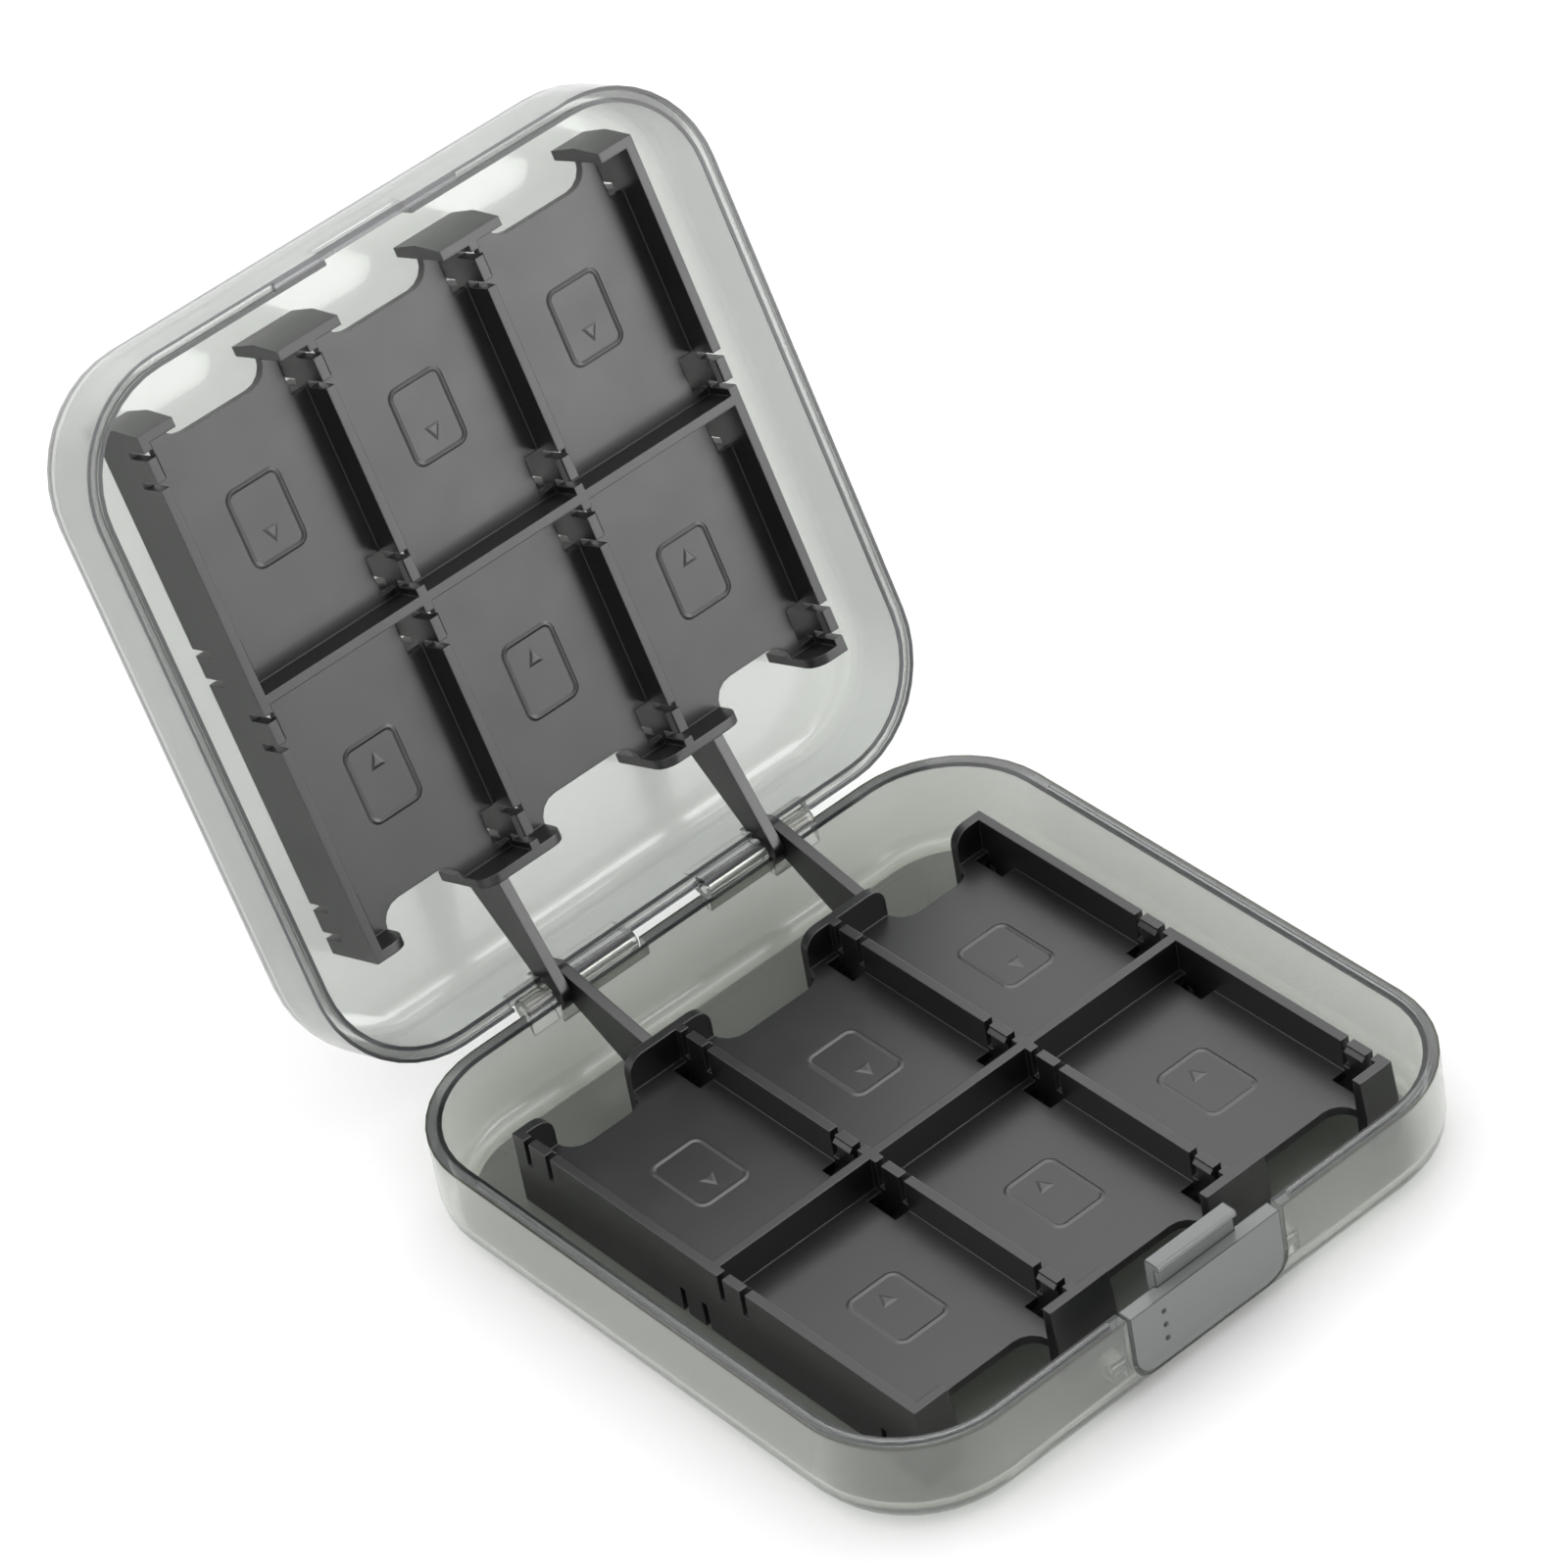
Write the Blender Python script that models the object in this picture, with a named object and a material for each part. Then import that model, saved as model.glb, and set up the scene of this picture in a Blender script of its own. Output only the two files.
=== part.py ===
"""Game card case: two clear shells that open like a book, with two card trays.

Both trays turn like pages on the same hinge line as the shells. Each tray has
six pockets on each face. Run with: blender --background --python part.py

World frame: metres, +Z up. The case stands on the flat bottom of its base.
+X runs along the hinge, the hinge is at the back (+Y), the latch faces -Y.
The origin is the centre of the base's bottom face. The lid stands open.
"""

import math

import bmesh
import bpy
from mathutils import Matrix, Vector

# Shells, whose width and depth follow from the pockets and the space round a tray
SHELL_HEIGHT = 0.0122
SHELL_WALL = 0.0019
SHELL_FLOOR = 0.0016
CORNER_RADIUS = 0.0150
EDGE_FILLET = 0.0038
SEAM_GAP = 0.0003
CLEARANCE = 0.0003
OPEN_ANGLE = math.radians(111.0)

# Rim: a tongue on the base and a groove round the lid
TONGUE_WIDTH = 0.0005
TONGUE_HEIGHT = 0.0005
GROOVE_WIDTH = 0.0010
GROOVE_DEPTH = 0.0005
TONGUE_END_Y = 0.0270

# Hinge: its axis lies just outside the back walls, level with the seam
HINGE_OFFSET = 0.00045
KNUCKLE_RADIUS = 0.0015
KNUCKLE_ROOT = 0.0010
KNUCKLE_ROOT_ANGLE = math.radians(30.0)
KNUCKLE_LIP = 0.0005
INNER_KNUCKLE_START = 0.0056
INNER_KNUCKLE_LENGTH = 0.00895
OUTER_KNUCKLE_LENGTH = 0.0038
KNUCKLE_END_GAP = 0.0008
PIN_RADIUS = 0.0006
PIN_CLEARANCE = 0.0001
PIN_INSET = 0.0005

# Trays
COLUMNS = 3
POCKET_WIDTH = 0.0224
POCKET_LENGTH = 0.0323
TRAY_WALL = 0.0012
TRAY_FLOOR = 0.0012
SIDE_SPACE = 0.0071
FRONT_SPACE = 0.0056
BACK_SPACE = 0.0124
TRAY_CROWN = 0.00055
PLATE_REACH = 0.00435
SIDE_PLATE_REACH = 0.0049
PLATE_CORNER = 0.0022

# Arms that carry a tray on the hinge pins
ARM_THICKNESS = 0.0014
ARM_EYE_RADIUS = 0.0025
ARM_TOP_DROP = 0.0003
ARM_ROOT_RISE = 0.0015
ARM_END_DROP = 0.0008
ARM_PLATE_MARGIN = 0.0024

# Spring tabs, their beads and the windows under them
TAB_WIDTH = 0.0029
TAB_SLOT_WIDTH = 0.0009
TAB_SLOT_DEPTH = 0.0037
TAB_FROM_DIVIDER = 0.0039
TAB_FROM_END = 0.0044
BEAD_REACH = 0.0005
BEAD_HEIGHT = 0.0013
BEAD_TIP = 0.6
WINDOW_WIDTH = 0.0020

# Finger notches in the outer edges of the pocket floors
NOTCH_DEPTH = 0.0037
NOTCH_CORNER = 0.0028

# Latch: a rocking panel in the base's front wall, with a hook above it
LATCH_WIDTH = 0.0224
LATCH_BOTTOM = 0.0028
LATCH_TOP_DROP = 0.00015
LATCH_GAP = 0.0005
LATCH_CORNER = 0.0030
HOOK_WIDTH = 0.0118
HOOK_HEIGHT = 0.0032
HOOK_THICKNESS = 0.0015
HOOK_LIP = 0.0007
HOOK_LIP_HEIGHT = 0.0008
HOOK_ROOT = 0.0030
LATCH_PIVOT_HEIGHT = 0.0052
LATCH_PIVOT_DEPTH = 0.0028
LATCH_STUB_RADIUS = 0.0006
LATCH_RIB_HEIGHT = 0.0018
EAR_WIDTH = 0.0020
EAR_HEIGHT = 0.0030
EAR_REACH = 0.0040
CATCH_BLOCK = 0.0132

# Facets
CORNER_SEGMENTS = 10
FILLET_SEGMENTS = 4
ARC_SEGMENTS = 4
ROUND_SEGMENTS = 24
LEVEL_DIGITS = 8

# Sizes and places worked out from the sizes above
TRAY_WIDTH = COLUMNS * POCKET_WIDTH + (COLUMNS + 1) * TRAY_WALL
TRAY_LENGTH = 2 * POCKET_LENGTH + 3 * TRAY_WALL
CASE_WIDTH = TRAY_WIDTH + 2 * (SIDE_SPACE + SHELL_WALL)
CASE_DEPTH = TRAY_LENGTH + FRONT_SPACE + BACK_SPACE + 2 * SHELL_WALL
HALF_DEPTH = CASE_DEPTH / 2
HINGE_Y = HALF_DEPTH + HINGE_OFFSET
HINGE_Z = SHELL_HEIGHT + SEAM_GAP / 2
HINGE_POINT = Vector((0.0, HINGE_Y, HINGE_Z))
ARM_STEP = ARM_THICKNESS + CLEARANCE
INNER_KNUCKLE = (INNER_KNUCKLE_START, INNER_KNUCKLE_START + INNER_KNUCKLE_LENGTH)
INNER_ARM_X = INNER_KNUCKLE[1] + CLEARANCE + ARM_THICKNESS / 2
OUTER_ARM_X = INNER_ARM_X + ARM_STEP
OUTER_KNUCKLE_START = OUTER_ARM_X + ARM_THICKNESS / 2 + CLEARANCE
OUTER_KNUCKLE = (OUTER_KNUCKLE_START, OUTER_KNUCKLE_START + OUTER_KNUCKLE_LENGTH)
TRAY_BOTTOM = SHELL_FLOOR + CLEARANCE
TRAY_TOP = HINGE_Z - CLEARANCE
TRAY_MIDDLE = (TRAY_BOTTOM + TRAY_TOP) / 2
TRAY_BACK = HALF_DEPTH - SHELL_WALL - BACK_SPACE
TRAY_FRONT = TRAY_BACK - TRAY_LENGTH
DIVIDER_Y = (TRAY_BACK + TRAY_FRONT) / 2
COLUMN_PITCH = POCKET_WIDTH + TRAY_WALL

COLORS = {
    "base_shell": ((0.52, 0.54, 0.52), 0.12, 0.0),
    "lid_shell": ((0.55, 0.56, 0.55), 0.12, 0.0),
    "latch": ((0.50, 0.52, 0.50), 0.12, 0.0),
    "base_tray": ((0.035, 0.035, 0.037), 0.45, 0.0),
    "lid_tray": ((0.035, 0.035, 0.037), 0.45, 0.0),
    "hinge_pin": ((0.62, 0.62, 0.60), 0.25, 1.0),
}


def clear_scene():
    """Remove whatever the new file opened with."""
    for item in list(bpy.context.scene.objects):
        bpy.data.objects.remove(item, do_unlink=True)


def new_collection(name):
    collection = bpy.data.collections.new(name)
    bpy.context.scene.collection.children.link(collection)
    return collection


def object_from(bm, name, collection):
    """Turn a bmesh into an object, with its faces pointing out.

    Points are rounded far below any real size, so that faces meant to be level
    with each other are exactly level.
    """
    for vert in bm.verts:
        vert.co = [round(value, LEVEL_DIGITS) for value in vert.co]
    bmesh.ops.recalc_face_normals(bm, faces=bm.faces)
    mesh = bpy.data.meshes.new(name)
    bm.to_mesh(mesh)
    bm.free()
    item = bpy.data.objects.new(name, mesh)
    collection.objects.link(item)
    return item


def add_box(bm, low, high):
    """Add a box between two corners."""
    low, high = Vector(low), Vector(high)
    matrix = Matrix.Translation((low + high) / 2) @ Matrix.Diagonal((*(high - low), 1.0))
    bmesh.ops.create_cube(bm, size=1.0, matrix=matrix)


def boxes(name, corners, collection):
    """Make one object of boxes that lie apart, each given by two corners."""
    bm = bmesh.new()
    for low, high in corners:
        add_box(bm, low, high)
    return object_from(bm, name, collection)


def rods(name, spans, centre, radius, collection):
    """Make one object of round bars along X, each given by its two ends in x."""
    bm = bmesh.new()
    for x0, x1 in spans:
        matrix = Matrix.Translation(((x0 + x1) / 2, *centre)) @ Matrix.Rotation(math.pi / 2, 4, "Y")
        bmesh.ops.create_cone(
            bm,
            cap_ends=True,
            segments=ROUND_SEGMENTS,
            radius1=radius,
            radius2=radius,
            depth=abs(x1 - x0),
            matrix=matrix,
        )
    return object_from(bm, name, collection)


def vertical_edges(bm):
    return [e for e in bm.edges if abs(e.verts[0].co.z - e.verts[1].co.z) > 1e-6]


def rim_edges(bm, z):
    return [e for e in bm.edges if all(abs(v.co.z - z) < 1e-6 for v in e.verts)]


def rounded_block(name, width, depth, bottom, top, radius, fillet, collection):
    """A block with round vertical corners and, if asked, a rounded bottom edge."""
    bm = bmesh.new()
    add_box(bm, (-width / 2, -depth / 2, bottom), (width / 2, depth / 2, top))
    bmesh.ops.bevel(
        bm,
        geom=vertical_edges(bm),
        offset=radius,
        segments=CORNER_SEGMENTS,
        profile=0.5,
        affect="EDGES",
    )
    if fillet > 0:
        bmesh.ops.bevel(
            bm,
            geom=rim_edges(bm, bottom),
            offset=fillet,
            segments=FILLET_SEGMENTS,
            profile=0.5,
            affect="EDGES",
        )
    return object_from(bm, name, collection)


def rounded_outline(corners):
    """Points of a closed outline from corners (u, v, radius)."""
    points = []
    count = len(corners)
    for i, (u, v, radius) in enumerate(corners):
        here = Vector((u, v))
        if radius <= 0:
            points.append(here)
            continue
        before = (Vector(corners[i - 1][:2]) - here).normalized()
        after = (Vector(corners[(i + 1) % count][:2]) - here).normalized()
        half = before.angle(after) / 2
        centre = here + (before + after).normalized() * radius / math.sin(half)
        start = here + before * radius / math.tan(half) - centre
        finish = here + after * radius / math.tan(half) - centre
        turn = start.angle_signed(finish)
        for step in range(ARC_SEGMENTS + 1):
            angle = -turn * step / ARC_SEGMENTS
            arm = Matrix.Rotation(angle, 2) @ start
            points.append(centre + arm)
    return points


def prism(name, outline, thickness, matrix, collection):
    """Extrude a flat outline by a thickness, centred, and put it in its place."""
    curve = bpy.data.curves.new(name, "CURVE")
    curve.dimensions = "2D"
    curve.fill_mode = "BOTH"
    curve.extrude = thickness / 2
    spline = curve.splines.new("POLY")
    spline.points.add(len(outline) - 1)
    for point, (u, v) in zip(spline.points, outline):
        point.co = (u, v, 0.0, 1.0)
    spline.use_cyclic_u = True
    drawn = bpy.data.objects.new(name, curve)
    collection.objects.link(drawn)
    mesh = bpy.data.meshes.new_from_object(evaluated(drawn))
    bpy.data.objects.remove(drawn, do_unlink=True)
    bpy.data.curves.remove(curve)
    bm = bmesh.new()
    bm.from_mesh(mesh)
    bpy.data.meshes.remove(mesh)
    bmesh.ops.remove_doubles(bm, verts=bm.verts, dist=1e-6)
    bmesh.ops.transform(bm, matrix=matrix, verts=bm.verts)
    return object_from(bm, name, collection)


def evaluated(item):
    """The object with its modifiers worked out."""
    bpy.context.view_layer.update()
    return item.evaluated_get(bpy.context.evaluated_depsgraph_get())


def combine(item, operation, tools):
    """Apply one exact Boolean for each tool to the item, and drop the tools."""
    for tool in tools:
        modifier = item.modifiers.new(operation.title(), "BOOLEAN")
        modifier.operation = operation
        modifier.solver = "EXACT"
        modifier.object = tool
        mesh = bpy.data.meshes.new_from_object(evaluated(item))
        item.modifiers.clear()
        spare, item.data = item.data, mesh
        bpy.data.meshes.remove(spare)
        shape = tool.data
        bpy.data.objects.remove(tool, do_unlink=True)
        bpy.data.meshes.remove(shape)
    item.data.name = item.name


def across_x(x, y=0.0, z=0.0):
    """Place an outline drawn as (y, z), with its thickness along X."""
    frame = Matrix(((0, 0, 1, 0), (1, 0, 0, 0), (0, 1, 0, 0), (0, 0, 0, 1)))
    return Matrix.Translation((x, y, z)) @ frame


def across_y(y):
    """Place an outline drawn as (x, z), with its thickness along Y."""
    frame = Matrix(((1, 0, 0, 0), (0, 0, -1, 0), (0, 1, 0, 0), (0, 0, 0, 1)))
    return Matrix.Translation((0, y, 0)) @ frame


def both_sides(spans):
    """Spans (x0, x1) on the right, with their mirror images on the left."""
    return [(x0, x1) for x0, x1 in spans] + [(-x1, -x0) for x0, x1 in spans]


def shell_tub(name, collection, tools):
    """One shell standing on its floor: the base's shape before its details."""
    tub = rounded_block(
        name, CASE_WIDTH, CASE_DEPTH, 0.0, SHELL_HEIGHT, CORNER_RADIUS, EDGE_FILLET, collection
    )
    hollow = rounded_block(
        "hollow",
        CASE_WIDTH - 2 * SHELL_WALL,
        CASE_DEPTH - 2 * SHELL_WALL,
        SHELL_FLOOR,
        2 * SHELL_HEIGHT,
        CORNER_RADIUS - SHELL_WALL,
        EDGE_FILLET - SHELL_WALL,
        tools,
    )
    combine(tub, "DIFFERENCE", [hollow])
    return tub


def rim_ring(name, width, bottom, top, collection):
    """A ring that follows the middle of the shell's wall."""
    outer_inset = SHELL_WALL - width
    inner_inset = SHELL_WALL + width
    ring = rounded_block(
        name,
        CASE_WIDTH - outer_inset,
        CASE_DEPTH - outer_inset,
        bottom,
        top,
        CORNER_RADIUS - outer_inset / 2,
        0.0,
        collection,
    )
    middle = rounded_block(
        "middle",
        CASE_WIDTH - inner_inset,
        CASE_DEPTH - inner_inset,
        bottom - width,
        top + width,
        CORNER_RADIUS - inner_inset / 2,
        0.0,
        collection,
    )
    combine(ring, "DIFFERENCE", [middle])
    return ring


def wall_notches(name, span, inside, depth, collection):
    """Cutters on both sides of the back wall, from inside it outwards."""
    outside = HINGE_Y + ARM_EYE_RADIUS
    corners = [
        ((x0, inside, HINGE_Z - depth), (x1, outside, HINGE_Z + depth)) for x0, x1 in both_sides([span])
    ]
    return boxes(name, corners, collection)


def hinge_notches(knuckle, collection):
    """Room in the back wall: right through it for the arms, and a recess
    outside a thin lip for the other shell's knuckles."""
    wall = HALF_DEPTH - SHELL_WALL
    arms = (INNER_KNUCKLE[1], OUTER_KNUCKLE[0])
    room = (knuckle[0] - KNUCKLE_END_GAP, knuckle[1] + KNUCKLE_END_GAP)
    return [
        wall_notches("arm_notches", arms, wall - CLEARANCE, ARM_EYE_RADIUS + CLEARANCE, collection),
        wall_notches("recess", room, wall + KNUCKLE_LIP, KNUCKLE_RADIUS + CLEARANCE, collection),
    ]


def hinge_knuckles(span, up, collection):
    """Knuckles on both sides, each with a root that runs into the back wall.

    up is 1 for the lid, whose wall rises from the seam, and -1 for the base.
    """
    solids = [rods("knuckles", both_sides([span]), (HINGE_Y, HINGE_Z), KNUCKLE_RADIUS, collection)]
    wall = HALF_DEPTH - KNUCKLE_ROOT
    brow_y = HINGE_Y + KNUCKLE_RADIUS * math.cos(KNUCKLE_ROOT_ANGLE)
    brow_z = HINGE_Z + up * KNUCKLE_RADIUS * math.sin(KNUCKLE_ROOT_ANGLE)
    outline = [
        (wall, HINGE_Z + up * CLEARANCE),
        (brow_y, brow_z),
        (HALF_DEPTH, HINGE_Z + up * 2 * KNUCKLE_RADIUS),
        (wall, HINGE_Z + up * 2 * KNUCKLE_RADIUS),
    ]
    for x0, x1 in both_sides([span]):
        solids.append(prism("knuckle_root", outline, x1 - x0, across_x((x0 + x1) / 2), collection))
    return solids


def pin_holes(span, collection):
    ends = both_sides([(span[0] - CLEARANCE, span[1] + CLEARANCE)])
    return rods("pin_holes", ends, (HINGE_Y, HINGE_Z), PIN_RADIUS + PIN_CLEARANCE, collection)


def latch_outline(grow):
    """The latch panel as (x, z), or its opening when it is grown by the gap."""
    half = LATCH_WIDTH / 2 + grow
    low = LATCH_BOTTOM - grow
    top = SHELL_HEIGHT - LATCH_TOP_DROP
    if grow > 0:
        top = SHELL_HEIGHT + TONGUE_HEIGHT + grow
    corner = LATCH_CORNER + grow
    return rounded_outline([(-half, low, corner), (half, low, corner), (half, top, 0), (-half, top, 0)])


def latch_prism(name, grow, collection):
    """The latch outline pushed through the front wall."""
    reach = 2 * SHELL_WALL
    matrix = across_y(-HALF_DEPTH + SHELL_WALL - reach / 2 + CLEARANCE)
    return prism(name, latch_outline(grow), reach, matrix, collection)


def latch_pivot():
    """The latch's pivot line as (y, z)."""
    return (-HALF_DEPTH + LATCH_PIVOT_DEPTH, LATCH_PIVOT_HEIGHT)


def ear_spans():
    start = LATCH_WIDTH / 2 + LATCH_GAP + CLEARANCE
    return both_sides([(start, start + EAR_WIDTH)])


def latch_ears(collection):
    """Two ears behind the front wall that hold the latch's stubs."""
    y0 = -HALF_DEPTH + SHELL_WALL / 2
    y1 = -HALF_DEPTH + EAR_REACH
    low = LATCH_PIVOT_HEIGHT - EAR_HEIGHT / 2
    high = LATCH_PIVOT_HEIGHT + EAR_HEIGHT / 2
    corners = [((x0, y0, low), (x1, y1, high)) for x0, x1 in ear_spans()]
    return boxes("ears", corners, collection)


def make_base_shell(collection, tools):
    """The lower shell: tub, rim tongue, knuckles, latch opening and ears."""
    shell = shell_tub("base_shell", collection, tools)
    tongue = rim_ring(
        "tongue", TONGUE_WIDTH, SHELL_HEIGHT - TONGUE_WIDTH, SHELL_HEIGHT + TONGUE_HEIGHT, tools
    )
    reach = CASE_WIDTH
    above = SHELL_HEIGHT + 2 * TONGUE_HEIGHT
    trims = boxes(
        "trims",
        [
            ((-reach, TONGUE_END_Y, 0), (reach, reach, above)),
            ((-CATCH_BLOCK - CLEARANCE, -reach, 0), (CATCH_BLOCK + CLEARANCE, 0, above)),
        ],
        tools,
    )
    combine(tongue, "DIFFERENCE", [trims])
    combine(shell, "DIFFERENCE", hinge_notches(INNER_KNUCKLE, tools))
    combine(shell, "UNION", [tongue] + hinge_knuckles(OUTER_KNUCKLE, -1, tools) + [latch_ears(tools)])
    ear_holes = rods(
        "ear_holes",
        [(x0 - CLEARANCE, x1 + CLEARANCE) for x0, x1 in ear_spans()],
        latch_pivot(),
        LATCH_STUB_RADIUS + PIN_CLEARANCE,
        tools,
    )
    window = latch_prism("window", LATCH_GAP, tools)
    combine(shell, "DIFFERENCE", [window, pin_holes(OUTER_KNUCKLE, tools), ear_holes])
    return shell


def catch_recess(collection):
    """The lid's recess for the hook: a shallow mouth and a deeper seat behind it."""
    rim = SHELL_HEIGHT + SEAM_GAP
    half = HOOK_WIDTH / 2 + CLEARANCE
    inside = -HALF_DEPTH + SHELL_WALL + CLEARANCE
    stem_face = hook_front() - CLEARANCE
    lip_face = hook_front() - HOOK_LIP - CLEARANCE
    ledge = SHELL_HEIGHT + HOOK_HEIGHT - HOOK_LIP_HEIGHT - CLEARANCE
    seat_top = SHELL_HEIGHT + HOOK_HEIGHT + CLEARANCE
    mouth = boxes("mouth", [((-half, stem_face, rim - CLEARANCE), (half, inside, seat_top))], collection)
    seat = boxes("seat", [((-half, lip_face, ledge), (half, inside, seat_top))], collection)
    return [mouth, seat]


def make_lid_shell(collection, tools):
    """The upper shell, shaped shut over the base: tub, groove, knuckles, catch."""
    shell = shell_tub("lid_shell", collection, tools)
    turn = Matrix.Translation(HINGE_POINT) @ Matrix.Rotation(math.pi, 4, "Y")
    shell.data.transform(turn @ Matrix.Translation(-HINGE_POINT))
    rim = SHELL_HEIGHT + SEAM_GAP
    groove = rim_ring("groove", GROOVE_WIDTH, rim - CLEARANCE, rim + GROOVE_DEPTH, tools)
    block = boxes(
        "block",
        [((-CATCH_BLOCK, -CASE_DEPTH, 0), (CATCH_BLOCK, 0, 2 * SHELL_HEIGHT))],
        tools,
    )
    combine(groove, "DIFFERENCE", [block])
    combine(shell, "DIFFERENCE", [groove] + hinge_notches(OUTER_KNUCKLE, tools) + catch_recess(tools))
    combine(shell, "UNION", hinge_knuckles(INNER_KNUCKLE, 1, tools))
    combine(shell, "DIFFERENCE", [pin_holes(INNER_KNUCKLE, tools)])
    return shell


def hook_front():
    """The y of the hook's front face, below its lip."""
    return -HALF_DEPTH + SHELL_WALL - HOOK_THICKNESS / 4


def hook_profile():
    """The hook's side view as (y, z): a stem with a lip that points out."""
    front = hook_front()
    back = front + HOOK_THICKNESS
    top = SHELL_HEIGHT + HOOK_HEIGHT
    lip_low = top - HOOK_LIP_HEIGHT
    root = SHELL_HEIGHT - HOOK_ROOT
    lip_round = HOOK_LIP / 2
    return rounded_outline(
        [
            (back, root, 0),
            (back, top, lip_round),
            (front - HOOK_LIP, top, lip_round),
            (front - HOOK_LIP, lip_low, 0),
            (front, lip_low, 0),
            (front, root, 0),
        ]
    )


def make_latch(collection, tools):
    """The rocking latch: the panel cut from the wall's own shape, hook and stubs."""
    latch = shell_tub("latch", collection, tools)
    combine(latch, "INTERSECT", [latch_prism("panel", 0.0, tools)])
    hook = prism("hook", hook_profile(), HOOK_WIDTH, across_x(0.0), tools)
    pivot_y, pivot_z = latch_pivot()
    rib_back = pivot_y + LATCH_STUB_RADIUS
    rib_half = LATCH_WIDTH / 2 - CLEARANCE
    rib_low = pivot_z - LATCH_RIB_HEIGHT / 2
    rib_high = pivot_z + LATCH_RIB_HEIGHT / 2
    rib = boxes(
        "rib",
        [((-rib_half, -HALF_DEPTH + SHELL_WALL / 2, rib_low), (rib_half, rib_back, rib_high))],
        tools,
    )
    ear_start = LATCH_WIDTH / 2 + LATCH_GAP + CLEARANCE
    stub_end = ear_start + EAR_WIDTH
    stubs = rods("stubs", [(-stub_end, stub_end)], (pivot_y, pivot_z), LATCH_STUB_RADIUS, tools)
    combine(latch, "UNION", [hook, rib, stubs])
    return latch


def column_walls():
    """The x of each wall that runs front to back, side walls included."""
    first = -(TRAY_WIDTH - TRAY_WALL) / 2
    return [first + i * COLUMN_PITCH for i in range(COLUMNS + 1)]


def notch_outline(left, right, edge, side):
    """A finger notch as (x, y) between two plates. side is 1 at the back edge."""
    bottom = edge - side * NOTCH_DEPTH
    out = edge + side * TRAY_WALL
    return rounded_outline(
        [(left, out, 0), (left, bottom, NOTCH_CORNER), (right, bottom, NOTCH_CORNER), (right, out, 0)]
    )


def make_tray_floor(collection, tools):
    """The floor between the two faces' pockets, with its finger notches."""
    half = (TRAY_WIDTH - TRAY_WALL) / 2
    low = TRAY_MIDDLE - TRAY_FLOOR / 2
    high = TRAY_MIDDLE + TRAY_FLOOR / 2
    y0 = TRAY_FRONT + TRAY_WALL / 2
    y1 = TRAY_BACK - TRAY_WALL / 2
    floor = boxes("tray", [((-half, y0, low), (half, y1, high))], collection)
    cutters = []
    for edge, side in ((TRAY_BACK, 1), (TRAY_FRONT, -1)):
        spans = plate_spans(side > 0)
        for (_, left), (right, _) in zip(spans, spans[1:]):
            outline = notch_outline(left, right, edge, side)
            matrix = Matrix.Translation((0, 0, TRAY_MIDDLE))
            cutters.append(prism("finger_notch", outline, 2 * TRAY_FLOOR, matrix, tools))
    combine(floor, "DIFFERENCE", cutters)
    return floor


def tray_ribs(tools):
    """The walls between the columns, the two side walls and the divider."""
    half_wall = TRAY_WALL / 2
    walls = boxes(
        "walls",
        [
            ((x - half_wall, TRAY_FRONT, TRAY_BOTTOM), (x + half_wall, TRAY_BACK, TRAY_TOP))
            for x in column_walls()
        ],
        tools,
    )
    half = (TRAY_WIDTH - TRAY_WALL) / 2
    divider = boxes(
        "divider",
        [((-half, DIVIDER_Y - half_wall, TRAY_BOTTOM), (half, DIVIDER_Y + half_wall, TRAY_TOP))],
        tools,
    )
    return [walls, divider]


def arm_places():
    """The x of the tray's two arms. The other tray's arms fill the places left."""
    return (-INNER_ARM_X, OUTER_ARM_X)


def plate_spans(at_back):
    """The x spans of the end plates from left to right. At the back the inner
    ones reach past the arms."""
    side = TRAY_WIDTH / 2
    past_arm = OUTER_ARM_X + ARM_PLATE_MARGIN
    spans = [(-side, -side + SIDE_PLATE_REACH)]
    for x in column_walls()[1:-1]:
        left, right = x - PLATE_REACH, x + PLATE_REACH
        if at_back and x < 0:
            left = min(left, -past_arm)
        if at_back and x > 0:
            right = max(right, past_arm)
        spans.append((left, right))
    spans.append((side - SIDE_PLATE_REACH, side))
    return spans


def back_plates(tools):
    """The plates at the hinge side, with round upper corners."""
    plates = []
    y = TRAY_BACK - TRAY_WALL / 2
    for left, right in plate_spans(True):
        left_corner = PLATE_CORNER if left > -TRAY_WIDTH / 2 else 0
        right_corner = PLATE_CORNER if right < TRAY_WIDTH / 2 else 0
        outline = rounded_outline(
            [
                (left, TRAY_BOTTOM, 0),
                (right, TRAY_BOTTOM, 0),
                (right, TRAY_TOP, right_corner),
                (left, TRAY_TOP, left_corner),
            ]
        )
        plates.append(prism("end_plate", outline, TRAY_WALL, across_y(y), tools))
    return plates


def front_plates(tools):
    """The plates at the free side, square at their ends and crowned in front."""
    outline = [
        (TRAY_FRONT, TRAY_BOTTOM),
        (TRAY_FRONT + TRAY_WALL, TRAY_BOTTOM),
        (TRAY_FRONT + TRAY_WALL, TRAY_TOP),
        (TRAY_FRONT, TRAY_TOP),
        (TRAY_FRONT - TRAY_CROWN, TRAY_MIDDLE),
    ]
    return [
        prism("end_plate", outline, right - left, across_x((left + right) / 2), tools)
        for left, right in plate_spans(False)
    ]


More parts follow.
